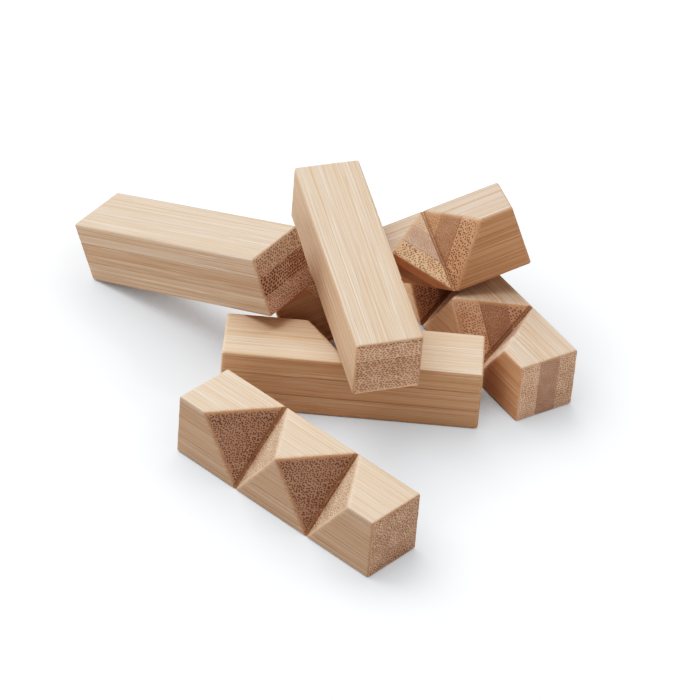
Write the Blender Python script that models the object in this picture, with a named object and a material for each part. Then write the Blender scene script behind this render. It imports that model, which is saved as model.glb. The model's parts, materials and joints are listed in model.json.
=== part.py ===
"""Diagonal burr puzzle: six notched bamboo sticks, taken apart and lying in a loose pile.

Units are metres and +Z is up. The origin is the centre of the middle stick's bottom face, at
table height. +X runs along the middle stick and +Y points to the back of the pile.

Every stick is the same square bar, glued up from three bamboo strips. In a stick's own frame X is
its length, Y points to its back face and Z to its top face. All notches are right-angled V cuts
across one long edge, with the valley on the bar's diagonal plane:
  - an inner pair sits side by side on one edge and takes the two sticks that cross there,
  - a single side notch sits at mid-length on a neighbouring edge and leaves room for the key.
One stick is plain (the key), three have the inner pair, and two have the pair and a side notch.
"""

import math

import bmesh
import bpy
from mathutils import Vector

MM = 0.001

# Driving dimensions.
SIDE = 15.0 * MM            # side of the square bar
LENGTH = 57.5 * MM          # length of every stick
STRIP_COUNT = 3             # bamboo strips glued into one stick
GLUE_LINE = 0.3 * MM        # space kept between two neighbouring strips, where the glue lies
EDGE_RADIUS = 0.4 * MM      # sanded rounding of the long edges and around both ends
RUNNING_GAP = 0.1 * MM      # how far a notch face stands off the stick that it takes

# Derived dimensions.
HALF_DIAGONAL = SIDE / math.sqrt(2)         # axis to a long edge, and half a notch's width there
VALLEY_DROP = RUNNING_GAP * math.sqrt(2)    # how far the valley lies past the bar's axis
CUTTER_OVERRUN = 2.0 * MM                   # how far a cutter stands outside the bar
ARC_STEPS = 3                               # straight steps in a rounded edge

# Long edges of a stick, as the signs of Y and Z.
TOP_FRONT = (-1, 1)
BOTTOM_FRONT = (-1, -1)
TOP_BACK = (1, 1)
BOTTOM_BACK = (1, -1)

# How a stick is glued up: its strips lie flat on one another, or stand side by side.
FLAT_STRIPS = ("lower_strip", "core_strip", "upper_strip")
STANDING_STRIPS = ("front_strip", "core_strip", "back_strip")

# Linear colours of the bamboo. The core strip of a stick is the darker one.
PALE_BAMBOO = (0.73, 0.50, 0.29)
DARK_BAMBOO = (0.54, 0.33, 0.17)
BAMBOO_ROUGHNESS = 0.6


def inner_pair(edge):
    """Two notches that meet at mid-length, as (edge, place along X)."""
    return [(edge, -HALF_DIAGONAL), (edge, HALF_DIAGONAL)]


def side_notch(edge):
    """One notch centred at mid-length."""
    return [(edge, 0.0)]


def height_on_low_end(roll, pitch):
    """Centre height of a tilted stick whose lowest rounded corner touches the table."""
    roll_angle = math.radians(roll)
    pitch_angle = math.radians(pitch)
    half_length = LENGTH / 2 - EDGE_RADIUS
    half_side = SIDE / 2 - EDGE_RADIUS
    half_section = half_side * (abs(math.sin(roll_angle)) + math.cos(roll_angle))
    drop = half_length * abs(math.sin(pitch_angle)) + half_section * math.cos(pitch_angle)
    return drop + EDGE_RADIUS


def stick(name, centre_mm, turn, strips, notches):
    """One stick's design: its centre, its turn about X, Y and Z in degrees, strips and notches.

    Without a height of its own a stick stands on its lowest corner.
    """
    x, y, height = centre_mm
    z = height_on_low_end(turn[0], turn[1]) if height is None else height * MM
    return {
        "name": name,
        "centre": (x * MM, y * MM, z),
        "turn": turn,
        "strips": strips,
        "notches": notches,
    }


def pile():
    """The six sticks where they lie. Neighbours keep 0.3 mm or more between them."""
    return [
        stick("middle_stick", (0.0, 0.0, None), (0.0, 0.0, 0.0), FLAT_STRIPS,
              inner_pair(BOTTOM_BACK) + side_notch(TOP_BACK)),
        stick("right_stick", (26.95, 24.3, None), (0.0, 0.0, -55.3), STANDING_STRIPS,
              inner_pair(TOP_FRONT)),
        stick("front_stick", (-9.8, -37.1, None), (0.0, 0.0, -40.2), FLAT_STRIPS,
              inner_pair(TOP_FRONT)),
        stick("leaning_stick", (7.65, 25.65, None), (-13.2, -19.4, 18.05), STANDING_STRIPS,
              inner_pair(TOP_FRONT) + side_notch(BOTTOM_FRONT)),
        stick("key_stick", (-38.2, 25.35, None), (6.9, -19.25, -38.3), FLAT_STRIPS, []),
        stick("top_stick", (-1.1, 10.3, 26.15), (2.3, 7.8, -71.9), FLAT_STRIPS,
              inner_pair(BOTTOM_BACK)),
    ]


def clear_scene():
    for obj in list(bpy.data.objects):
        bpy.data.objects.remove(obj, do_unlink=True)


def bamboo(name, colour):
    """A plain Principled material in one tone of bamboo."""
    material = bpy.data.materials.new(name)
    material.use_nodes = True
    shader = material.node_tree.nodes["Principled BSDF"]
    shader.inputs["Base Color"].default_value = (*colour, 1.0)
    shader.inputs["Roughness"].default_value = BAMBOO_ROUGHNESS
    shader.inputs["Metallic"].default_value = 0.0
    material.diffuse_color = (*colour, 1.0)
    return material


def link_object(name, data, parent=None):
    obj = bpy.data.objects.new(name, data)
    bpy.context.scene.collection.objects.link(obj)
    obj.parent = parent
    return obj


def add_stick_frame(design):
    """Empty at a stick's centre, turned as the stick lies. Its strips and cutters hang on it."""
    frame = link_object(design["name"] + "_frame", None)
    frame.empty_display_type = "ARROWS"
    frame.empty_display_size = SIDE
    frame.location = design["centre"]
    frame.rotation_euler = [math.radians(angle) for angle in design["turn"]]
    return frame


def rounded_edge(half, across_sign, stack_sign):
    """Points of one rounded edge in the section, from the side face to the stack's end face."""
    middle = half - EDGE_RADIUS
    points = []
    for step in range(ARC_STEPS + 1):
        angle = math.pi / 2 * step / ARC_STEPS
        points.append((
            across_sign * (middle + EDGE_RADIUS * math.cos(angle)),
            stack_sign * (middle + EDGE_RADIUS * math.sin(angle)),
        ))
    return points


def strip_outline(layer, inset):
    """Section of one strip as (across, stack) points, with its outer sides drawn in by inset.

    The first and the last strip of the stack each carry two of the bar's rounded edges. Faces on
    a glue line stay flat and square.
    """
    half = SIDE / 2 - inset
    pitch = SIDE / STRIP_COUNT
    low = -SIDE / 2 + layer * pitch + GLUE_LINE / 2
    high = low + pitch - GLUE_LINE
    if layer == 0:
        bottom = rounded_edge(half, -1, -1) + rounded_edge(half, 1, -1)[::-1]
    else:
        bottom = [(-half, low), (half, low)]
    if layer == STRIP_COUNT - 1:
        top = rounded_edge(half, 1, 1) + rounded_edge(half, -1, 1)[::-1]
    else:
        top = [(half, high), (-half, high)]
    return bottom + top


def end_stations(end):
    """Sections of one rounded end as (x, inset), from the straight part out to the end face."""
    stations = []
    for step in range(ARC_STEPS + 1):
        angle = math.pi / 2 * step / ARC_STEPS
        x = end * (LENGTH / 2 - EDGE_RADIUS + EDGE_RADIUS * math.sin(angle))
        stations.append((x, EDGE_RADIUS * (1 - math.cos(angle))))
    return stations


def section_point(x, across, stack, standing):
    """A section point in the stick's frame. Strips that stand are stacked along Y, others along Z."""
    if standing:
        return Vector((x, stack, -across))
    return Vector((x, across, stack))


def strip_mesh(name, layer, standing):
    """One strip over the stick's full length, with its outer sides rounded in at both ends."""
    shape = bmesh.new()
    rings = []
    for x, inset in end_stations(-1)[::-1] + end_stations(1):
        outline = strip_outline(layer, inset)
        rings.append([shape.verts.new(section_point(x, *point, standing)) for point in outline])
    for ring, following in zip(rings, rings[1:]):
        for index, corner in enumerate(ring):
            after = (index + 1) % len(ring)
            shape.faces.new((corner, ring[after], following[after], following[index]))
    shape.faces.new(rings[0][::-1])
    shape.faces.new(rings[-1])
    bmesh.ops.recalc_face_normals(shape, faces=shape.faces)
    mesh = bpy.data.meshes.new(name)
    shape.to_mesh(mesh)
    shape.free()
    return mesh


def notch_mesh(name, edge, place):
    """Wedge that cuts one V notch: its ridge is the valley, and it opens outwards over the edge."""
    outwards = Vector((0.0, edge[0], edge[1])).normalized()
    along_valley = Vector((0.0, edge[0], -edge[1])).normalized()
    reach = HALF_DIAGONAL + CUTTER_OVERRUN
    half_width = reach + VALLEY_DROP
    valley = Vector((place, 0.0, 0.0)) - outwards * VALLEY_DROP
    mouth = Vector((place, 0.0, 0.0)) + outwards * reach
    half_mouth = Vector((half_width, 0.0, 0.0))
    shape = bmesh.new()
    triangle = [
        shape.verts.new(corner - along_valley * reach)
        for corner in (valley, mouth + half_mouth, mouth - half_mouth)
    ]
    face = shape.faces.new(triangle)
    swept = bmesh.ops.extrude_face_region(shape, geom=[face])
    moved = [item for item in swept["geom"] if isinstance(item, bmesh.types.BMVert)]
    bmesh.ops.translate(shape, verts=moved, vec=along_valley * reach * 2)
    bmesh.ops.recalc_face_normals(shape, faces=shape.faces)
    mesh = bpy.data.meshes.new(name)
    shape.to_mesh(mesh)
    shape.free()
    return mesh


def add_notch_cutters(design, frame):
    """Wedge cutters of one stick. They only guide the Booleans and aren't part of the puzzle."""
    cutters = []
    for number, (edge, place) in enumerate(design["notches"], start=1):
        name = f"{design['name']}_notch_cutter_{number}"
        cutter = link_object(name, notch_mesh(name, edge, place), frame)
        cutter.display_type = "WIRE"
        cutter.hide_render = True
        cutters.append(cutter)
    return cutters


def add_strip(design, frame, layer, cutters):
    """One strip of a stick, cut by all the stick's notches, with its own material."""
    name = f"{design['name']}_{design['strips'][layer]}"
    standing = design["strips"] is STANDING_STRIPS
    strip = link_object(name, strip_mesh(name, layer, standing), frame)
    is_core = 0 < layer < STRIP_COUNT - 1
    colour = DARK_BAMBOO if is_core else PALE_BAMBOO
    strip.data.materials.append(bamboo(name + "_bamboo", colour))
    for cutter in cutters:
        cut = strip.modifiers.new(cutter.name, "BOOLEAN")
        cut.operation = "DIFFERENCE"
        cut.solver = "EXACT"
        cut.object = cutter
    return strip


def add_stick(design):
    frame = add_stick_frame(design)
    cutters = add_notch_cutters(design, frame)
    for layer in range(STRIP_COUNT):
        add_strip(design, frame, layer, cutters)


def build():
    clear_scene()
    for design in pile():
        add_stick(design)
    bpy.context.view_layer.update()


build()
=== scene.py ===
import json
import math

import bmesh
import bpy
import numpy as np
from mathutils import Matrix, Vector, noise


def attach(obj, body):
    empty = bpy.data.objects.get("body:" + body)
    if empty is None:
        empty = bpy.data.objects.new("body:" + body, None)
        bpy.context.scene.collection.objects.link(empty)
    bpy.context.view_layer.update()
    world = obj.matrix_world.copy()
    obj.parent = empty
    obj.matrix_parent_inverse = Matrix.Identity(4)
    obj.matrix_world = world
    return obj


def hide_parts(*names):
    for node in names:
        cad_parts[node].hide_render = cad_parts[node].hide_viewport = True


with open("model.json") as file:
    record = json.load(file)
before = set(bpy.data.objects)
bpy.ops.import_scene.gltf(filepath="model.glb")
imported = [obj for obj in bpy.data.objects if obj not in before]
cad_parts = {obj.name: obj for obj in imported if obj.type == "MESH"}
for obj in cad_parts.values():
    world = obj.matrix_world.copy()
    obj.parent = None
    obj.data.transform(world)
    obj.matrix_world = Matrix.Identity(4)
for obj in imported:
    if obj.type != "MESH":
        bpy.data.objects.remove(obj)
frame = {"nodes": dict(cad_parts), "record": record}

# Looks of the diagonal burr puzzle: six sticks of laminated bamboo lying in a loose pile.
#
# Each strip of each stick is rebuilt from its CAD node as a finer mesh: the strips close up to a
# hairline glue joint, the notch ridges are worn round, the saw leaves a shallow groove along one
# side of each valley, and the sanded faces are very slightly wavy along the grain.
#
# The sticks are worked out in millimetres, in a grain frame of each stick's own: X runs along the
# fibres, Y across the strips, and Z through the stack of three strips. The stage is in metres.

MM = 0.001

# The bar.
STRIP_COUNT = 3
EDGE_RADIUS = 0.6           # worn rounding of the long edges and the ends, more than the CAD's 0.4
HAIRLINE = 0.02             # how far each strip stands off the middle of a glue joint

# Fine shape that the looks add.
RIDGE_WEAR = 0.6            # width over which a ridge between two faces is worn round
VALLEY_KEEP = 2.5           # a ridge stays sharper within this distance of a valley
SHARPEST = 0.15             # share of the wear that is left right at a valley
GROOVE_WIDTH = 0.8          # saw groove along one side of each valley
GROOVE_DEPTH = 0.12
JOINT_GROOVE = 0.02         # how far the faces dip at a glue joint
WAVE = 0.02                 # height of the waviness along the grain
WAVE_ALONG = 0.04           # its scale along the fibres and across them, per millimetre
WAVE_ACROSS = 0.9
FUZZ = 0.07                 # height of the roughness on a ridge
FUZZ_SCALE = 1.7
FUZZ_BIAS = 0.3             # how much more the roughness takes off than it adds

# Spacing of the mesh grid.
GRID_ALONG = 1.0
GRID_ACROSS = 1.25
RIDGE_LOOPS = (-0.9, -0.5, -0.22)       # cuts on the solid side of a notch face
VALLEY_LOOPS = (0.12, 0.74, 0.88)       # cuts that carry the saw groove
BORDER_LOOPS = (0.22, 0.5, 0.9)         # cuts just inside each side of the bar
JOINT_LOOP = 0.18                       # step between the two cuts on each side of a joint
SHARP_ANGLE = math.radians(38)          # edges over this are shaded sharp

# How closely things have to agree to count as the same.
ALIGNED = 0.999             # cosine of two directions
LEAN_TOLERANCE = 0.01       # part of a unit normal
SAME_NOTCH = 1.0            # places of faces that belong to one notch
MERGE_DISTANCE = 0.01       # vertices of a CAD strip
FLAT_ANGLE = math.radians(2)    # triangles of one flat CAD face
ON_JOINT = 0.5              # a face and the glue joint that it lies on
ON_PLANE = 0.0001           # a vertex and a cutting plane

# Walking onto the worn surface.
SLOPE_STEP = 0.02           # reach of the difference that gives a slope
WEAR_STEPS = 4              # steps that each vertex takes
MIN_SLOPE = 0.1             # these two keep divisions off zero
MIN_SLOPE_SQUARED = 0.05
FAR_FROM_VALLEY = 10.0      # valley distance of a stick without notches


# --- The sticks, read from the frame ---------------------------------------------------------


def face_table(node):
    """Unit normals, centres and areas of a CAD node's faces, in metres."""
    polygons = node.data.polygons
    normals = np.array([face.normal for face in polygons])
    centres = np.array([face.center for face in polygons])
    areas = np.array([face.area for face in polygons])
    return normals, centres, areas


def main_direction(normals, areas, square_to=None):
    """The direction, either way round, that the largest area faces."""
    cosines = normals @ normals.T
    total = (np.abs(cosines) > ALIGNED) @ areas
    if square_to is not None:
        total = total * (np.abs(normals @ square_to) < 1 - ALIGNED)
    best = np.argmax(total)
    weights = areas * np.sign(cosines[best]) * (np.abs(cosines[best]) > ALIGNED)
    mean = weights @ normals
    return mean / np.linalg.norm(mean)


def vertex_table(node):
    return np.array([vertex.co for vertex in node.data.vertices])


def read_stick(names):
    """A stick's strips in stack order, its grain frame and its notches."""
    core = next(name for name in names if name.endswith("core_strip"))
    first, last = [name for name in names if name != core]
    normals, _, areas = face_table(frame["nodes"][core])
    stack = main_direction(normals, areas)
    middles = [vertex_table(frame["nodes"][name]).mean(0) for name in (first, last)]
    if (middles[1] - middles[0]) @ stack < 0:
        stack = -stack
    across = main_direction(normals, areas, square_to=stack)
    along = np.cross(across, stack)
    if along[0] < 0:
        across, along = -across, -along
    axes = np.array([along, across, stack])
    points = np.concatenate([vertex_table(frame["nodes"][name]) for name in names]) @ axes.T
    low, high = points.min(0), points.max(0)
    centre = axes.T @ ((low + high) / 2)
    to_world = Matrix([[*(axes[:, row] * MM), centre[row]] for row in range(3)] + [[0, 0, 0, 1]])
    stick = {
        "strips": [first, core, last],
        "to_world": to_world,
        "half": (high - low) / 2 / MM,
    }
    stick["notches"] = read_notches(stick)
    return stick


def read_notches(stick):
    """Each V notch as (edge signs, place along X, valley height outwards), from the notch faces.

    A notch face leans 45 degrees to the fibres and faces one long edge of the bar. The two faces
    of one notch meet near the bar's axis, which tells which faces belong together.
    """
    to_grain = np.array(stick["to_world"].inverted())
    turn = to_grain[:3, :3] * MM
    reaches = {}
    for name in stick["strips"]:
        normals, centres, areas = face_table(frame["nodes"][name])
        normals = normals @ turn.T
        centres = centres @ to_grain[:3, :3].T + to_grain[:3, 3]
        for normal, centre, area in zip(normals, centres, areas):
            leans = abs(abs(normal[0]) - math.sqrt(0.5)) < LEAN_TOLERANCE
            if leans and abs(abs(normal[1]) - 0.5) < LEAN_TOLERANCE:
                side = tuple(int(math.copysign(1, part)) for part in normal)
                reach = float(normal @ centre) * math.sqrt(2)
                reaches.setdefault(side, []).append((reach, area))
    notches = []
    for (_, *edge) in sorted({(0, *side[1:]) for side in reaches}):
        for left in merge_close(reaches[(1, *edge)]):
            for right in merge_close(reaches[(-1, *edge)]):
                if abs(left + right) < SAME_NOTCH:
                    notches.append((edge, (left - right) / 2, (left + right) / 2))
    return notches


def merge_close(reaches):
    """Mean of each group of (reach, area) that lies close together, weighted by area."""
    groups = []
    for reach, area in sorted(reaches):
        if not groups or reach - groups[-1][-1][0] > SAME_NOTCH:
            groups.append([])
        groups[-1].append((reach, area))
    return [
        sum(reach * area for reach, area in group) / sum(area for _, area in group)
        for group in groups
    ]


def notch_planes(notch):
    """The two faces of a notch as (unit normal into the air, distance of the plane)."""
    edge, place, valley = notch
    half_turn = math.sqrt(0.5)
    left = np.array([half_turn, edge[0] / 2, edge[1] / 2])
    right = np.array([-half_turn, edge[0] / 2, edge[1] / 2])
    return [(left, (valley + place) * half_turn), (right, (valley - place) * half_turn)]


# --- The worn surface, as a signed distance --------------------------------------------------


def rounded_maximum(first, second, width):
    """Larger of two distances, rounded where they are within width of each other."""
    overlap = np.maximum(width - np.abs(first - second), 0.0) / width
    return np.maximum(first, second) + overlap * overlap * width / 4


def bar_distance(points, half):
    """Distance outside the rounded bar."""
    corner = np.abs(points) - (half - EDGE_RADIUS)
    outside = np.linalg.norm(np.maximum(corner, 0.0), axis=1)
    inside = np.minimum(corner.max(axis=1), 0.0)
    return outside + inside - EDGE_RADIUS


def notch_heights(points, notch):
    """Heights of points over the left and the right face of a notch, on the side of the air."""
    return [points @ normal - reach for normal, reach in notch_planes(notch)]


def notch_distance(points, notch):
    """How deep a point is in the air of a notch, with the saw groove along its left face."""
    over_left, over_right = notch_heights(points, notch)
    wedge = np.minimum(over_left, over_right)
    along_groove = np.minimum(over_right, GROOVE_WIDTH - over_right)
    groove = np.minimum(over_left + GROOVE_DEPTH, along_groove)
    return np.maximum(wedge, groove)


def worn_distance(points, stick):
    """Distance outside the worn stick: rounded bar, notches, and a dip at each glue joint."""
    distance = bar_distance(points, stick["half"])
    for notch in stick["notches"]:
        off_valley = np.hypot(*notch_heights(points, notch))
        width = RIDGE_WEAR * np.clip(off_valley / VALLEY_KEEP, SHARPEST, 1.0)
        distance = rounded_maximum(distance, notch_distance(points, notch), width)
    off_joint = np.abs(np.abs(points[:, 2]) - joint_height(stick))
    return distance + JOINT_GROOVE * np.clip(1 - off_joint / JOINT_LOOP, 0, 1)


def joint_height(stick):
    """Height of the two glue joints over and under the middle of the stack."""
    return stick["half"][2] / STRIP_COUNT


def gradient(points, stick):
    slope = np.zeros_like(points)
    for axis in range(3):
        shift = np.zeros(3)
        shift[axis] = SLOPE_STEP
        rise = worn_distance(points + shift, stick) - worn_distance(points - shift, stick)
        slope[:, axis] = rise / (2 * SLOPE_STEP)
    return slope


def unit(slope):
    return slope / np.maximum(np.linalg.norm(slope, axis=1), MIN_SLOPE)[:, None]


def cut_margin(points, stick):
    """Positive on cut faces (ends and notches), negative on long faces, zero on their ridges."""
    sides = np.abs(points[:, 1:]).max(axis=1) - stick["half"][1]
    cuts = np.abs(points[:, 0]) - stick["half"][0]
    for notch in stick["notches"]:
        cuts = np.maximum(cuts, np.minimum(*notch_heights(points, notch)))
    return cuts - sides


def valley_margin(points, stick):
    """Distance from the nearest valley line."""
    nearest = np.full(len(points), FAR_FROM_VALLEY)
    for notch in stick["notches"]:
        nearest = np.minimum(nearest, np.hypot(*notch_heights(points, notch)))
    return nearest


# --- Meshes ----------------------------------------------------------------------------------


def cad_shape(stick, name):
    """A CAD strip in its grain frame, with its triangles merged back into whole faces."""
    shape = bmesh.new()
    shape.from_mesh(frame["nodes"][name].data)
    shape.transform(stick["to_world"].inverted())
    bmesh.ops.remove_doubles(shape, verts=shape.verts, dist=MERGE_DISTANCE)
    bmesh.ops.dissolve_limit(shape, angle_limit=FLAT_ANGLE, verts=shape.verts,
                             edges=shape.edges)
    return shape


def glue_faces(shape, stick):
    """Faces on a glue joint: square to the stack and close to a third of its height."""
    third = joint_height(stick)
    square = [face for face in shape.faces if abs(face.normal.z) > ALIGNED]
    return [
        face for face in square
        if abs(abs(face.calc_center_median().z) - third) < ON_JOINT
    ]


def close_joints(shape, stick):
    """Slides each glue face outwards, along the strip's own edges, up to the hairline."""
    third = joint_height(stick)
    moves = []
    for face in glue_faces(shape, stick):
        height = face.calc_center_median().z
        target = math.copysign(third, height) - face.normal.z * HAIRLINE
        for corner in face.verts:
            leaving = [edge for edge in corner.link_edges if face not in edge.link_faces]
            if len(leaving) != 1:
                continue
            inner = leaving[0].other_vert(corner)
            ray = corner.co - inner.co
            moves.append((corner, inner.co + ray * ((target - inner.co.z) / ray.z)))
    for corner, place in moves:
        corner.co = place


def cut(shape, normal, reach):
    """Cuts every face along a plane, without taking anything away."""
    normal = Vector(normal)
    geometry = shape.verts[:] + shape.edges[:] + shape.faces[:]
    bmesh.ops.bisect_plane(shape, geom=geometry, dist=ON_PLANE, plane_co=normal * reach,
                           plane_no=normal)


def refine(shape, stick):
    """Cuts the strip into a fine grid, with extra loops beside ridges, valleys and joints."""
    half = stick["half"]
    low = min(vertex.co.z for vertex in shape.verts)
    high = max(vertex.co.z for vertex in shape.verts)
    for notch in stick["notches"]:
        for normal, reach in notch_planes(notch):
            for offset in RIDGE_LOOPS:
                cut(shape, normal, reach + offset)
        for offset in VALLEY_LOOPS:
            normal, reach = notch_planes(notch)[1]
            cut(shape, normal, reach + offset)
    for offset in BORDER_LOOPS:
        for axis in range(3):
            normal = np.eye(3)[axis]
            cut(shape, normal, half[axis] - offset)
            cut(shape, -normal, half[axis] - offset)
    third = joint_height(stick)
    for joint in (-third, third):
        for offset in (-2 * JOINT_LOOP, -JOINT_LOOP, JOINT_LOOP, 2 * JOINT_LOOP):
            if low < joint + offset < high:
                cut(shape, (0, 0, 1), joint + offset)
    for height in np.arange(-half[2] + GRID_ACROSS, half[2], GRID_ACROSS):
        if low + 2 * JOINT_LOOP < height < high - 2 * JOINT_LOOP:
            cut(shape, (0, 0, 1), height)
    for across in np.arange(-half[1] + GRID_ACROSS, half[1], GRID_ACROSS):
        cut(shape, (0, 1, 0), across)
    for place in np.arange(-math.floor(half[0]), half[0], GRID_ALONG):
        cut(shape, (1, 0, 0), place)


def grain_wave(point, seed):
    """Waviness that runs along the fibres."""
    x, y, z = point
    return noise.noise(Vector((x * WAVE_ALONG, y * WAVE_ACROSS, z * WAVE_ACROSS + seed)))


def ridge_fuzz(point, seed):
    """Roughness at the scale of the fibre bundles."""
    return noise.noise(Vector(point) * FUZZ_SCALE + Vector((seed, 0, 0)))


def outer_slope(points, stick, on_joint):
    """Slope of the worn distance, without the part that would lift a glue joint's rim off it."""
    slope = gradient(points, stick)
    slope[on_joint, 2] = 0.0
    return slope


def wear(shape, stick, seed):
    """Moves the strip's outer surface onto the worn surface. Joints stay flat."""
    glued = set(glue_faces(shape, stick))
    outer = [
        vertex for vertex in shape.verts
        if not all(face in glued for face in vertex.link_faces)
    ]
    on_joint = np.array([any(face in glued for face in vertex.link_faces) for vertex in outer])
    points = np.array([vertex.co for vertex in outer])
    for _ in range(WEAR_STEPS):
        slope = outer_slope(points, stick, on_joint)
        steepness = np.maximum((slope * slope).sum(axis=1), MIN_SLOPE_SQUARED)
        points -= slope * (worn_distance(points, stick) / steepness)[:, None]
    outwards = unit(outer_slope(points, stick, on_joint))
    near_ridge = np.clip(1 - np.abs(cut_margin(points, stick)) / RIDGE_WEAR, 0, 1)
    waves = np.array([WAVE * grain_wave(point, seed) for point in points])
    fuzz = np.array([FUZZ * (ridge_fuzz(point, seed) - FUZZ_BIAS) for point in points])
    points += outwards * (waves + near_ridge * fuzz)[:, None]
    for vertex, point in zip(outer, points):
        vertex.co = point


def store(mesh, name, kind, values):
    attribute = mesh.attributes.new(name, kind, "POINT")
    key = "vector" if kind == "FLOAT_VECTOR" else "value"
    attribute.data.foreach_set(key, np.asarray(values, np.float32).ravel())


def strip_piece(stick, name, seed):
    """The visible piece for one CAD strip, with its grain coordinates stored for the material."""
    shape = cad_shape(stick, name)
    close_joints(shape, stick)
    refine(shape, stick)
    wear(shape, stick, seed)
    mesh = bpy.data.meshes.new(name + "_visual")
    shape.to_mesh(mesh)
    shape.free()
    points = np.array([vertex.co for vertex in mesh.vertices])
    store(mesh, "grain", "FLOAT_VECTOR", points)
    store(mesh, "cut", "FLOAT", cut_margin(points, stick))
    store(mesh, "valley", "FLOAT", valley_margin(points, stick))
    store(mesh, "facing", "FLOAT", unit(gradient(points, stick))[:, 0])
    mesh.transform(stick["to_world"])
    mesh.shade_smooth()
    mesh.set_sharp_from_angle(angle=SHARP_ANGLE)
    piece = bpy.data.objects.new(name + "_visual", mesh)
    bpy.context.scene.collection.objects.link(piece)
    return piece


# --- Bamboo ----------------------------------------------------------------------------------


class Graph:
    """Short calls that add and link shader nodes."""

    def __init__(self, tree):
        self.tree = tree
        tree.nodes.clear()

    def node(self, kind, inputs=None, **settings):
        made = self.tree.nodes.new(kind)
        for key, value in settings.items():
            setattr(made, key, value)
        for key, value in (inputs or {}).items():
            self.feed(made.inputs[key], value)
        return made

    def feed(self, socket, value):
        """Links an output to the socket, or sets it to a number, a vector or a colour."""
        if isinstance(value, bpy.types.NodeSocket):
            self.tree.links.new(value, socket)
        elif socket.type == "RGBA":
            socket.default_value = (*value, 1.0)
        else:
            socket.default_value = value

    def math(self, operation, *values):
        made = self.node("ShaderNodeMath", operation=operation)
        for socket, value in zip(made.inputs, values):
            self.feed(socket, value)
        return made.outputs[0]

    def vector(self, operation, first, second):
        made = self.node("ShaderNodeVectorMath", operation=operation)
        self.feed(made.inputs[0], first)
        self.feed(made.inputs[1], second)
        return made.outputs[0]

    def attribute(self, name, output):
        return self.node("ShaderNodeAttribute", attribute_name=name).outputs[output]

    def grain(self):
        """The place in the stick's grain frame, as X, Y and Z."""
        return self.split(self.attribute("grain", "Vector"))

    def split(self, vector):
        return self.node("ShaderNodeSeparateXYZ", {"Vector": vector}).outputs

    def step(self, value, low, high, from_value=0.0, to_value=1.0):
        """Smooth step of value between low and high."""
        made = self.node("ShaderNodeMapRange", {
            "Value": value, "From Min": low, "From Max": high, "To Min": from_value,
            "To Max": to_value,
        }, interpolation_type="SMOOTHSTEP")
        return made.outputs["Result"]

    def choose(self, mask, without, within):
        """One value where the mask is zero and another where it is one."""
        return self.step(mask, 0.0, 1.0, without, within)

    def mix(self, factor, first, second, blend="MIX"):
        made = self.node("ShaderNodeMix", data_type="RGBA", blend_type=blend)
        self.feed(made.inputs["Factor"], factor)
        self.feed(made.inputs[6], first)
        self.feed(made.inputs[7], second)
        return made.outputs[2]

    def tint(self, colour, tone):
        return self.mix(1.0, colour, tone, "MULTIPLY")

    def surface(self, shader, kind="ShaderNodeOutputMaterial"):
        output = self.node(kind)
        self.tree.links.new(shader.outputs[0], output.inputs["Surface"])

    def by_ray(self, seen, otherwise):
        """One shader for what the camera sees, and another for all other rays."""
        path = self.node("ShaderNodeLightPath")
        return self.node("ShaderNodeMixShader", {
            0: path.outputs["Is Camera Ray"], 1: otherwise.outputs[0], 2: seen.outputs[0],
        })


# Linear colours of sanded bamboo.
LONG_LIGHT = (0.62, 0.485, 0.37)
LONG_PALE = (0.565, 0.415, 0.305)
LONG_WARM = (0.55, 0.375, 0.25)
LONG_STREAK = (0.40, 0.235, 0.135)
LONG_THREAD = (0.76, 0.65, 0.54)
CUT_TISSUE = (0.60, 0.405, 0.29)
CUT_DEEP = (0.46, 0.275, 0.18)
CUT_FLECK = (0.72, 0.53, 0.41)
BUNDLE_DARK = (0.12, 0.058, 0.034)
RIDGE_AMBER = (0.46, 0.235, 0.11)
# Painted shade in the saw groove.
GROOVE_SHADE_BROWN = (0.36, 0.19, 0.11)
# Dark brown of the glue joints, also the painted shade on the groove's step and in the valley.
GLUE_AND_SHADE_BROWN = (0.22, 0.12, 0.065)

# Tones that the colours are multiplied by.
NEUTRAL = (1.0, 1.0, 1.0)
NOTCH_SHADE_TONE = (0.97, 0.90, 0.87)           # notch face towards +X: darker and browner, painted shade
NOTCH_LIGHT_TONE = (1.04, 1.15, 1.25)          # notch face towards -X: paler and greyer, painted light
END_TONE = (1.11, 1.21, 1.35)       # sanded end
UNDERSIDE_PAINTED_LIGHT = (1.45, 1.40, 1.35)     # painted light on a cut face that looks down

NOISE_RANGE = (0.3, 0.7)    # most of a noise lies between these

# Noise patterns drawn out along the fibres: scales per millimetre along and across the fibres,
# and then detail and roughness where they differ from the usual.
LONG_PATTERNS = {
    "bands": (0.010, 0.45),
    "streaks": (0.020, 4.6, 3.0, 0.7),
    "lines": (0.010, 3.2, 2.0, 0.7),
    "fibres": (0.08, 9.0),
}
CUT_PATCHES = (0.1, 0.35)
CUT_SPECKLE = (2.0, 6.0, 3.0)
BUNDLE_DRIFT = (0.05, 0.4, 1.0)
BUNDLE_WOBBLE = (0.3, 3.0)
BUNDLE_THINNING = (0.02, 0.25, 1.0)

# Layers on a long face: the pattern, the values where it starts and is full, how strong it is
# there, and its colour.
LONG_LAYERS = (
    ("bands", 0.35, 0.65, 0.70, LONG_WARM),
    ("streaks", 0.47, 0.30, 0.80, LONG_LIGHT),
    ("streaks", 0.50, 0.70, 0.85, LONG_STREAK),
    ("lines", 0.57, 0.64, 0.60, LONG_STREAK),
    ("fibres", 0.50, 0.80, 0.45, LONG_STREAK),
)

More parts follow.
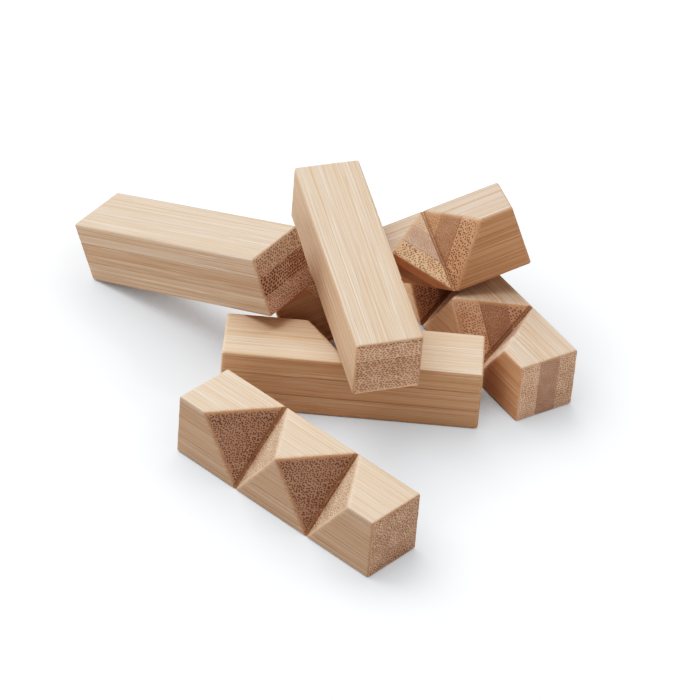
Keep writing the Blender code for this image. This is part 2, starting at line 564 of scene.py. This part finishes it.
# Thin lines on a long face: the pattern, the line's half width in values of the pattern, its
# strength and its colour.
LONG_THREADS = (
    ((0.006, 1.3, 1.0), 0.012, 0.55, LONG_THREAD),
    ((0.008, 1.9, 1.0), 0.014, 0.55, LONG_STREAK),
    ((0.012, 3.4, 1.0), 0.020, 0.50, LONG_STREAK),
)
THREAD_CORE = 0.3           # share of a thin line's width that is at full strength
BUNDLE_ON_LONG = 0.2        # how much a fibre bundle shows on a long face

# The front long face of a stick, whose tones are painted light and shade.
FRONT_STARTS = 0.5          # a point this far behind the front face has none of the front's tone
FRONT_FULL = 0.15           # and this far behind, all of it
FRONT_FADE = 14.0           # the left painted tone turns into the right one over this, from the middle on

# Fibre bundles.
HONEYCOMB_ROW = math.sqrt(0.75)     # height of a row of a honeycomb, in cells
DRIFT_REACH = 0.9           # how far the rods wander, in millimetres
WOBBLE_REACH = 0.18         # how uneven a dot's outline is, in cells
DOT_SIZES = (0.85, 1.1)     # smallest and largest dot, as shares of the look's dot
DOT_CORE = 0.45             # share of a dot's radius that is fully dark

# Cut faces: the values between which a face starts to count as one of a kind and fully does.
END_FACING = (0.8, 0.9)
RIGHT_FACING = (-0.2, 0.2)
LEFT_VALLEY_FACING = (0.3, 0.5)
DOWN_FACING = (0.0, -0.3)

# Layers of the tissue between the dots of a cut face, laid out as those of a long face.
PATCH_STRENGTH = (0.1, 0.6)
SPECKLE_LAYERS = (
    (0.5, 0.75, 0.50, CUT_DEEP),
    (0.5, 0.30, 0.35, CUT_FLECK),
)

# A border along each ridge of a cut face has no dots and is amber.
NOTCH_BORDER = 0.9
END_BORDER = 0.5
BORDER_DOTS_START = 0.15    # dots fade in from here to the border's width
BORDER_AMBER_FULL = 0.1     # amber is full up to here and gone at the border's width
AMBER_ON_NOTCH = (0.12, 0.6)    # strength on most ridges, and on top ridges of notch faces towards +X
AMBER_ON_END = 0.35
UNDERSIDE_CONTRAST = 0.2    # darkness of the dots on a cut face that looks down, faded under its painted light
JOINT_CONTRAST = 0.4        # share of the dots' darkness that is left on a glue joint
JOINT_DOTS_FULL = 0.12      # distance from a joint at which they are fully dark again
TOP_BLEND = 0.6             # half the width over which one long face hands over to the next

# The saw groove beside a valley, with painted shade in the groove, on its step and in the valley.
GROOVE_FADE = (0.15, -0.1)      # the groove's colour comes in between these, past its width
GROOVE_STRENGTH = 0.6
STEP_LINE_AT = 0.05         # the painted dark line of shade lies this far outside the groove
STEP_LINE_FADE = (0.28, 0.08)
STEP_LINE_STRENGTH = 0.75
# Painted shade in the valley itself.
VALLEY_SHADE_FADE = (0.45, 0.05)
VALLEY_SHADE_STRENGTH = 0.55

# Glue joints, relief and sheen.
GLUE_FADE = (0.13, 0.02)
GLUE_ON_CUT = 0.08
RAGGED = 0.8                # how far speckle shifts the colour's border on a ridge
RIDGE_BLEND = 0.12
BUNDLE_RELIEF = -0.6
STREAK_RELIEF = 0.5
FIBRE_RELIEF = 0.3
BUMP_STRENGTH = 0.25
BUMP_DISTANCE = 0.00012     # in metres
SHEEN = (0.5, 0.62)         # roughness of light and dark streaks
CUT_SHEEN = 0.2             # roughness that a cut face has on top
SPECULAR = 0.3

# Steps through a strip's noise from one strip to the next, and through its honeycomb.
SEED_STEP = (7.3, 3.1, 5.7)
HONEYCOMB_STEP = (0.0, 0.37, 0.61)


def fibre_noise(graph, point, along, across, detail=2.0, roughness=0.5):
    """Noise drawn out along the fibres. along and across are its scales per millimetre."""
    drawn = graph.vector("MULTIPLY", point, (along, across, across))
    made = graph.node("ShaderNodeTexNoise", {
        "Vector": drawn, "Scale": 1.0, "Detail": detail, "Roughness": roughness,
    })
    return made.outputs["Fac"]


def honeycomb_distance(graph, point, look):
    """Distance across the fibres from the nearest rod of a loose honeycomb, in cells.

    A honeycomb is a square grid sheared by half a cell a row and pressed flatter.
    """
    drift = graph.math("MULTIPLY", fibre_noise(graph, point, *BUNDLE_DRIFT), DRIFT_REACH)
    parts = graph.split(point)
    crowded = graph.math("ADD", graph.math("MULTIPLY", parts["Y"], look["crowding"] / 2), 1.0)
    across = graph.math("ADD", graph.math("MULTIPLY", parts["Y"], crowded), drift)
    row = graph.math("MULTIPLY", graph.math("ADD", parts["Z"], drift), 1 / HONEYCOMB_ROW)
    sheared = graph.node("ShaderNodeCombineXYZ", {
        "X": graph.math("SUBTRACT", across, graph.math("MULTIPLY", row, 0.5)),
        "Y": row,
    }).outputs[0]
    cells = graph.node("ShaderNodeTexVoronoi", {
        "Vector": sheared, "Scale": 1 / look["spacing"], "Randomness": look["disorder"],
    }, voronoi_dimensions="2D", feature="F1")
    offset = graph.split(graph.vector("SUBTRACT", sheared, cells.outputs["Position"]))
    offset_across = graph.math("ADD", offset["X"], graph.math("MULTIPLY", offset["Y"], 0.5))
    offset_up = graph.math("MULTIPLY", offset["Y"], HONEYCOMB_ROW)
    squares = graph.math("ADD", graph.math("POWER", offset_across, 2.0),
                         graph.math("POWER", offset_up, 2.0))
    return graph.math("DIVIDE", graph.math("SQRT", squares), look["spacing"])


def fibre_bundles(graph, point, look):
    """How much each point lies in a fibre bundle: thin rods along X that show as dots in a cut."""
    wobble = graph.math("SUBTRACT", fibre_noise(graph, point, *BUNDLE_WOBBLE), 0.5)
    distance = graph.math("ADD", honeycomb_distance(graph, point, look),
                          graph.math("MULTIPLY", wobble, WOBBLE_REACH))
    thinning = fibre_noise(graph, point, *BUNDLE_THINNING)
    smallest, largest = [look["dot"] * share for share in DOT_SIZES]
    size = graph.step(thinning, *NOISE_RANGE, smallest, largest)
    return graph.step(distance, size, graph.math("MULTIPLY", size, DOT_CORE))


def contour(graph, value, width, strength):
    """Thin line where value, a noise drawn out along the fibres, crosses its middle."""
    off = graph.math("ABSOLUTE", graph.math("SUBTRACT", value, 0.5))
    return graph.step(off, width, width * THREAD_CORE, 0.0, strength)


def front_light_and_shade(graph, look):
    """Painted light and shade on the stick's front long face, going from left to right, and none
    elsewhere.
    """
    grain = graph.grain()
    is_front = graph.step(grain[look["front"]], FRONT_STARTS - look["half"],
                          FRONT_FULL - look["half"])
    rightness = graph.step(grain["X"], 0.0, FRONT_FADE)
    both = graph.mix(rightness, look["front_left_light_shade"], look["front_right_light_shade"])
    return graph.mix(is_front, NEUTRAL, both)


def long_face(graph, point, bundle, look):
    """Colour of a face along the fibres, and the patterns that it is made of."""
    patterns = {
        name: fibre_noise(graph, point, *pattern) for name, pattern in LONG_PATTERNS.items()
    }
    colour = LONG_PALE
    for name, start, full, strength, tint in LONG_LAYERS:
        colour = graph.mix(graph.step(patterns[name], start, full, 0.0, strength), colour, tint)
    for pattern, width, strength, tint in LONG_THREADS:
        line = contour(graph, fibre_noise(graph, point, *pattern), width, strength)
        colour = graph.mix(line, colour, tint)
    colour = graph.mix(graph.math("MULTIPLY", bundle, BUNDLE_ON_LONG), colour, LONG_STREAK)
    colour = graph.tint(colour, look["long_tone"])
    return graph.tint(colour, front_light_and_shade(graph, look)), patterns


def near_top(graph, look):
    """One where the stick's top face is the nearest of its long faces, and zero elsewhere."""
    grain = graph.grain()
    if look["front"] == "Y":
        height, sideways = grain["Z"], grain["Y"]
    else:
        height, sideways = graph.math("MULTIPLY", grain["Y"], -1.0), grain["Z"]
    lead = graph.math("SUBTRACT", height, graph.math("ABSOLUTE", sideways))
    return graph.step(lead, -TOP_BLEND, TOP_BLEND)


def off_joint(graph, look):
    """Distance from the nearer glue joint."""
    height = graph.math("ABSOLUTE", graph.grain()["Z"])
    return graph.math("ABSOLUTE", graph.math("SUBTRACT", height, look["joint"]))


def cut_masks(graph):
    """Which way a cut face looks, and the width of the border along its ridges."""
    facing = graph.attribute("facing", "Fac")
    normal = graph.node("ShaderNodeNewGeometry").outputs["Normal"]
    is_end = graph.step(graph.math("ABSOLUTE", facing), *END_FACING)
    return {
        "is_end": is_end,
        "rightward": graph.step(facing, *RIGHT_FACING),
        "underside": graph.step(graph.split(normal)["Z"], *DOWN_FACING),
        "border": graph.choose(is_end, NOTCH_BORDER, END_BORDER),
    }


def cut_tissue(graph, point, speckle):
    """Tissue between the bundles: deep and light patches, and specks of both."""
    patches = fibre_noise(graph, point, *CUT_PATCHES)
    deep = graph.step(patches, *NOISE_RANGE, *PATCH_STRENGTH)
    colour = graph.mix(deep, CUT_TISSUE, CUT_DEEP)
    for start, full, strength, tint in SPECKLE_LAYERS:
        colour = graph.mix(graph.step(speckle, start, full, 0.0, strength), colour, tint)
    return colour


def dot_darkness(graph, cut_edge, masks, look):
    """How dark bundles show on a cut face: least beside ridges and joints, and on undersides, which
    are lightened with painted light.
    """
    inside = graph.step(cut_edge, BORDER_DOTS_START, masks["border"])
    contrast = graph.choose(masks["underside"], look["contrast"], UNDERSIDE_CONTRAST)
    on_joint = graph.step(off_joint(graph, look), 0.0, JOINT_DOTS_FULL, JOINT_CONTRAST, 1.0)
    return graph.math("MULTIPLY", graph.math("MULTIPLY", inside, contrast), on_joint)


def cut_tone(graph, colour, masks, look):
    """The tones of the strip, the painted light and shade of the way the face looks, and the
    painted light of an underside.
    """
    colour = graph.tint(colour, look["cut_tone"])
    tone_here = graph.mix(masks["rightward"], look["leftward"], look["rightward"])
    colour = graph.tint(colour, graph.mix(masks["is_end"], tone_here, END_TONE))
    return graph.mix(masks["underside"], colour, graph.tint(colour, UNDERSIDE_PAINTED_LIGHT))


def amber_border(graph, cut_edge, masks, look):
    """How amber the border along a ridge is."""
    on_top = graph.math("MULTIPLY", masks["rightward"], near_top(graph, look))
    strength = graph.choose(on_top, *AMBER_ON_NOTCH)
    strength = graph.choose(masks["is_end"], strength, AMBER_ON_END)
    return graph.step(cut_edge, masks["border"], BORDER_AMBER_FULL, 0.0, strength)


def cut_face(graph, point, bundle, cut_edge, look):
    """Colour of an end or a notch face, and its speckle."""
    speckle = fibre_noise(graph, point, *CUT_SPECKLE)
    masks = cut_masks(graph)
    colour = cut_tissue(graph, point, speckle)
    dots = graph.math("MULTIPLY", bundle, dot_darkness(graph, cut_edge, masks, look))
    colour = cut_tone(graph, graph.mix(dots, colour, BUNDLE_DARK), masks, look)
    return graph.mix(amber_border(graph, cut_edge, masks, look), colour, RIDGE_AMBER), speckle


def groove_and_valley_shade(graph, colour):
    """Paints shade into the smooth groove along the left face of a valley, onto its step and into
    the valley itself.
    """
    valley = graph.attribute("valley", "Fac")
    on_left = graph.step(graph.attribute("facing", "Fac"), *LEFT_VALLEY_FACING)
    outside, inside = [GROOVE_WIDTH + past for past in GROOVE_FADE]
    in_groove = graph.math("MULTIPLY", graph.step(valley, outside, inside), on_left)
    in_groove = graph.math("MULTIPLY", in_groove, GROOVE_STRENGTH)
    colour = graph.mix(in_groove, colour, GROOVE_SHADE_BROWN)
    off_step = graph.math("SUBTRACT", valley, GROOVE_WIDTH + STEP_LINE_AT)
    step_line = graph.step(graph.math("ABSOLUTE", off_step), *STEP_LINE_FADE, 0.0,
                           STEP_LINE_STRENGTH)
    colour = graph.mix(graph.math("MULTIPLY", step_line, on_left), colour, GLUE_AND_SHADE_BROWN)
    return graph.mix(graph.step(valley, *VALLEY_SHADE_FADE, 0.0, VALLEY_SHADE_STRENGTH), colour, GLUE_AND_SHADE_BROWN)


def glue_line(graph, is_cut, look):
    """How much a glue joint shows: a hair of brown, with a strength of its own on a cut face."""
    shown = graph.choose(is_cut, look["glue"], GLUE_ON_CUT)
    return graph.math("MULTIPLY", graph.step(off_joint(graph, look), *GLUE_FADE), shown)


def relief_normal(graph, bundle, is_cut, patterns):
    """Bundles sink into a cut face, and streaks and fibres stand up everywhere."""
    relief = graph.math("MULTIPLY", graph.math("MULTIPLY", bundle, BUNDLE_RELIEF), is_cut)
    streaks = graph.math("MULTIPLY", patterns["streaks"], STREAK_RELIEF)
    fibres = graph.math("MULTIPLY", patterns["fibres"], FIBRE_RELIEF)
    relief = graph.math("ADD", graph.math("ADD", relief, streaks), fibres)
    bump = graph.node("ShaderNodeBump", {
        "Height": relief, "Strength": BUMP_STRENGTH, "Distance": BUMP_DISTANCE,
    })
    return bump.outputs["Normal"]


def bamboo(name, look):
    """Bamboo of one strip, from the grain, cut, valley and facing attributes of its mesh."""
    material = bpy.data.materials.new(name)
    material.use_nodes = True
    graph = Graph(material.node_tree)
    grain = graph.attribute("grain", "Vector")
    cut_edge = graph.attribute("cut", "Fac")
    seed = look["seed"]
    point = graph.vector("ADD", grain, [seed * part for part in SEED_STEP])
    honeycomb_point = graph.vector("ADD", grain, [seed * part for part in HONEYCOMB_STEP])

    bundle = fibre_bundles(graph, honeycomb_point, look)
    long_colour, patterns = long_face(graph, point, bundle, look)
    cut_colour, speckle = cut_face(graph, point, bundle, cut_edge, look)
    cut_colour = groove_and_valley_shade(graph, cut_colour)

    # The ridge between them is ragged.
    ragged = graph.math("MULTIPLY", graph.math("SUBTRACT", speckle, 0.5), RAGGED)
    is_cut = graph.step(graph.math("ADD", cut_edge, ragged), -RIDGE_BLEND, RIDGE_BLEND)
    colour = graph.mix(is_cut, long_colour, cut_colour)
    colour = graph.mix(glue_line(graph, is_cut, look), colour, GLUE_AND_SHADE_BROWN)

    roughness = graph.math("ADD", graph.step(patterns["streaks"], *NOISE_RANGE, *SHEEN),
                           graph.math("MULTIPLY", is_cut, CUT_SHEEN))
    shader = graph.node("ShaderNodeBsdfPrincipled", {
        "Base Color": colour,
        "Roughness": roughness,
        "Normal": relief_normal(graph, bundle, is_cut, patterns),
        "Specular IOR Level": SPECULAR,
    })
    graph.surface(shader)
    return material


# --- Looks of each strip ---------------------------------------------------------------------


def strip_look(spacing, dot, contrast, cut_tone, rightward=NOTCH_SHADE_TONE, leftward=NOTCH_LIGHT_TONE,
               long_tone=NEUTRAL, crowding=0.0, disorder=0.5):
    """Bundle spacing, size, darkness, crowding and disorder, and the tones of the faces.

    Spacing is in millimetres and the dot's radius in cells. Crowding packs the bundles closer
    towards +Y. The tones are those of every cut face, of notch faces towards +X and -X, which
    paint light and shade, and of the long faces.
    """
    return {
        "spacing": spacing, "dot": dot, "contrast": contrast, "cut_tone": cut_tone,
        "rightward": rightward, "leftward": leftward, "long_tone": long_tone,
        "crowding": crowding, "disorder": disorder,
    }


def front_look(across, glue, left_light_shade, right_light_shade=None):
    """A stick's front long face, which looks against the grain axis that is named.

    glue is how much its glue lines show. The tones, painted light and shade, are those left and
    right of its middle.
    """
    return {
        "front": across, "glue": glue, "front_left_light_shade": left_light_shade,
        "front_right_light_shade": right_light_shade or left_light_shade,
    }


LEANING_LONG = (0.84, 0.84, 0.87)
KEY_LONG = (0.895, 0.91, 0.92)
RIGHT_LONG = (1.01, 1.03, 1.08)

# Where a look gives notch face tones, towards +X and then -X, they are painted light and shade.
COARSE = strip_look(0.62, 0.37, 0.85, (1.18, 1.16, 1.14), (1.0, 0.98, 0.91),
                    (0.84, 0.76, 0.69), LEANING_LONG, disorder=0.7)
PALE_CORE = strip_look(0.42, 0.38, 0.50, (0.77, 0.71, 0.71), (1.28, 1.42, 1.52),
                       (0.98, 0.95, 0.86), LEANING_LONG)
PALE_BACK = strip_look(0.46, 0.36, 0.50, (1.14, 1.12, 1.10), (1.06, 1.12, 1.15),
                       (0.83, 0.76, 0.68), LEANING_LONG)
SMALL = strip_look(0.56, 0.38, 0.65, (1.10, 1.08, 1.06), long_tone=RIGHT_LONG)
FINE = strip_look(0.42, 0.38, 0.50, (0.745, 0.69, 0.69), (0.97, 0.90, 0.83), NOTCH_LIGHT_TONE,
                  (0.99, 0.99, 1.01))
SOFT = strip_look(0.64, 0.38, 0.70, (0.97, 0.95, 0.93), long_tone=RIGHT_LONG)
KEY_LOWER = strip_look(0.60, 0.42, 0.75, (0.85, 0.78, 0.76), long_tone=KEY_LONG)
KEY_CORE = strip_look(0.76, 0.47, 0.90, (0.78, 0.68, 0.61), long_tone=(0.805, 0.775, 0.745),
                      crowding=0.06, disorder=0.35)
SPARSE = strip_look(0.74, 0.38, 0.75, (0.92, 0.86, 0.79), long_tone=KEY_LONG)
WIDE = strip_look(0.72, 0.48, 0.92, (0.89, 0.88, 0.86))
SHADED = strip_look(0.72, 0.49, 0.92, (0.78, 0.75, 0.72))
MEDIUM = strip_look(0.62, 0.36, 0.80, (1.06, 1.04, 1.02), long_tone=(1.13, 1.12, 1.12),
                    disorder=0.4)
DENSE = strip_look(0.46, 0.40, 0.88, (0.90, 0.87, 0.85), (0.67, 0.635, 0.645),
                   (0.92, 0.99, 1.0), (1.06, 1.06, 1.06), disorder=0.7)

# The looks of a stick's strips in stack order, and of its front, whose tones are painted light and
# shade.
STICK_LOOKS = {
    "key_stick": (
        (KEY_LOWER, KEY_CORE, SPARSE),
        front_look("Y", 0.15, (0.96, 1.0, 1.075)),
    ),
    "top_stick": (
        (WIDE, SHADED, WIDE),
        front_look("Y", 0.1, (1.05, 1.05, 1.08)),
    ),
    "middle_stick": (
        (MEDIUM, MEDIUM, MEDIUM),
        front_look("Y", 0.5, (0.845, 0.795, 0.76)),
    ),
    "front_stick": (
        (DENSE, DENSE, DENSE),
        front_look("Y", 0.15, (0.66, 0.66, 0.69)),
    ),
    "right_stick": (
        (SMALL, FINE, SOFT),
        front_look("Z", 0.1, (1.65, 1.60, 1.55), (1.04, 0.87, 0.75)),
    ),
    "leaning_stick": (
        (COARSE, PALE_CORE, PALE_BACK),
        front_look("Z", 0.1, (1.13, 0.94, 0.79)),
    ),
}


# --- Stage, in metres ------------------------------------------------------------------------


TONE_WHITE = 2.4            # scene brightness that comes out pure white
TONE_POWER = 1.5            # steepness of the tone curve
TONE_POINTS = 12
COMBINED_CURVE = 3          # the curve that acts on all three colours

FLOOR_HALF = 3.0
FLOOR_DROP = 0.00005        # keeps the floor off the faces that lie on it
FLOOR_NEAR_SHADE = (0.50, 0.52, 0.54)     # painted shade: floor as the camera sees it, beside a stick
FLOOR_FAR = (0.95, 0.97, 0.99)      # and out in the open
FLOOR_GLOW = (0.83, 0.865, 0.90)    # lifts the shadows
GLOW_STRENGTH = 0.6
FLOOR_BOUNCE = (0.72, 0.645, 0.57)  # floor as it lights the sticks from below
SHADE_REACH = 0.035         # how far from a stick the painted shade greys the floor
SHADE_SAMPLES = 8
SHADE_OPENNESS = (0.80, 0.985)   # openness of the painted grey shade beside a stick, and of the open floor
GLOW_OPENNESS = (0.05, 0.45)    # the glow comes up between these

SKY = (1.0, 0.98, 0.95)
SKY_STRENGTH = 0.52
WARM_WHITE = (1.0, 0.98, 0.96)
COOL_WHITE = (0.98, 0.995, 1.0)

# Softboxes: place, side of the square, power in watts and colour. All point at the origin.
SOFTBOXES = {
    "key_light": ((-0.36, 0.36, 0.78), 1.2, 29.0, COOL_WHITE),
    "fill_light": ((0.42, -0.56, 0.46), 0.9, 2.0, WARM_WHITE),
    "left_fill": ((-0.52, -0.52, 0.26), 0.6, 2.0, WARM_WHITE),
}

# The camera: its angles in degrees, the point that it looks at and its lens. The distance and
# the lens together set the scale and the slight perspective.
CAMERA_TURN = -0.334        # from looking along +Y, to the right
CAMERA_PITCH = 37.138       # downwards
CAMERA_ROLL = 4.919
CAMERA_AIM = Vector((-0.881, 4.149, 10.0)) * MM
CAMERA_DISTANCE = 862.3 * MM
LENS_MM = 200
SENSOR_MM = 36
CAMERA_CLIP = 10


def tone(value):
    """S-shaped response of film: soft highlights, deep and rich darks."""
    def response(amount):
        return amount ** TONE_POWER / (amount ** TONE_POWER + 1)
    return response(value) / response(TONE_WHITE)


def set_tone_curve():
    view = bpy.context.scene.view_settings
    view.view_transform = "Standard"
    view.use_curve_mapping = True
    mapping = view.curve_mapping
    mapping.white_level = (TONE_WHITE,) * 3
    mapping.extend = "HORIZONTAL"
    curve = mapping.curves[COMBINED_CURVE]
    for index in range(1, TONE_POINTS):
        share = (index / TONE_POINTS) ** 2      # closer together in the darks
        curve.points.new(share, tone(share * TONE_WHITE))
    mapping.update()


def floor_paper():
    """White paper with a warm bounce, painted grey shade beside the sticks, and a glow that lifts
    its shadows.
    """
    material = bpy.data.materials.new("floor_paper")
    material.use_nodes = True
    graph = Graph(material.node_tree)
    openness = graph.node("ShaderNodeAmbientOcclusion", {"Distance": SHADE_REACH},
                          samples=SHADE_SAMPLES).outputs["AO"]
    colour = graph.mix(graph.step(openness, *SHADE_OPENNESS), FLOOR_NEAR_SHADE, FLOOR_FAR)
    strength = graph.step(openness, *GLOW_OPENNESS, 0.0, GLOW_STRENGTH)
    paper = graph.node("ShaderNodeBsdfDiffuse", {"Color": colour})
    glow = graph.node("ShaderNodeEmission", {"Color": FLOOR_GLOW, "Strength": strength})
    seen = graph.node("ShaderNodeAddShader", {0: paper.outputs[0], 1: glow.outputs[0]})
    bounce = graph.node("ShaderNodeBsdfDiffuse", {"Color": FLOOR_BOUNCE})
    graph.surface(graph.by_ray(seen, bounce))
    return material


def add_floor():
    mesh = bpy.data.meshes.new("floor")
    corners = [
        (x * FLOOR_HALF, y * FLOOR_HALF, -FLOOR_DROP)
        for x, y in ((-1, -1), (1, -1), (1, 1), (-1, 1))
    ]
    mesh.from_pydata(corners, [], [(0, 1, 2, 3)])
    floor = bpy.data.objects.new("floor", mesh)
    bpy.context.scene.collection.objects.link(floor)
    mesh.materials.append(floor_paper())


def add_softbox(name, place, side, power, colour):
    data = bpy.data.lights.new(name, "AREA")
    data.size = side
    data.energy = power
    data.color = colour
    lamp = bpy.data.objects.new(name, data)
    bpy.context.scene.collection.objects.link(lamp)
    lamp.location = place
    lamp.rotation_euler = (-Vector(place)).to_track_quat("-Z", "Y").to_euler()


def add_world():
    """White backdrop for the camera, and a dim, slightly warm sky for the light it gives."""
    world = bpy.data.worlds.new("studio")
    bpy.context.scene.world = world
    world.use_nodes = True
    graph = Graph(world.node_tree)
    sky = graph.node("ShaderNodeBackground", {"Color": SKY, "Strength": SKY_STRENGTH})
    backdrop = graph.node("ShaderNodeBackground", {"Color": NEUTRAL, "Strength": TONE_WHITE})
    graph.surface(graph.by_ray(backdrop, sky), "ShaderNodeOutputWorld")


def add_camera():
    """Long lens, looking down at the pile from the front, tilted a little."""
    turn = math.radians(CAMERA_TURN)
    pitch = math.radians(CAMERA_PITCH)
    roll = math.radians(CAMERA_ROLL)
    forward = Vector((math.sin(turn) * math.cos(pitch), math.cos(turn) * math.cos(pitch),
                      -math.sin(pitch)))
    level = Vector((math.cos(turn), -math.sin(turn), 0.0))
    upright = level.cross(forward)
    right = math.cos(roll) * level + math.sin(roll) * upright
    up = -math.sin(roll) * level + math.cos(roll) * upright
    data = bpy.data.cameras.new("camera")
    data.lens = LENS_MM
    data.sensor_width = SENSOR_MM
    data.clip_end = CAMERA_CLIP
    camera = bpy.data.objects.new("camera", data)
    bpy.context.scene.collection.objects.link(camera)
    rotation = Matrix((right, up, -forward)).transposed()
    place = CAMERA_AIM - forward * CAMERA_DISTANCE
    camera.matrix_world = Matrix.Translation(place) @ rotation.to_4x4()
    bpy.context.scene.camera = camera


def build_sticks():
    bodies = frame["record"]["behaviour"]["bodies"]
    seed = 1.0
    for body in sorted(bodies):
        stick = read_stick(bodies[body])
        strip_looks, front = STICK_LOOKS[body]
        for name, strip in zip(stick["strips"], strip_looks):
            piece = strip_piece(stick, name, seed)
            look = dict(strip, **front, seed=seed, joint=float(joint_height(stick)),
                        half=float(stick["half"][1]))
            piece.data.materials.append(bamboo(name + "_bamboo", look))
            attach(piece, body)
            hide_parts(name)
            seed += 1.0


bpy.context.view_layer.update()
build_sticks()
add_floor()
add_world()
for name, softbox in SOFTBOXES.items():
    add_softbox(name, *softbox)
add_camera()
set_tone_curve()
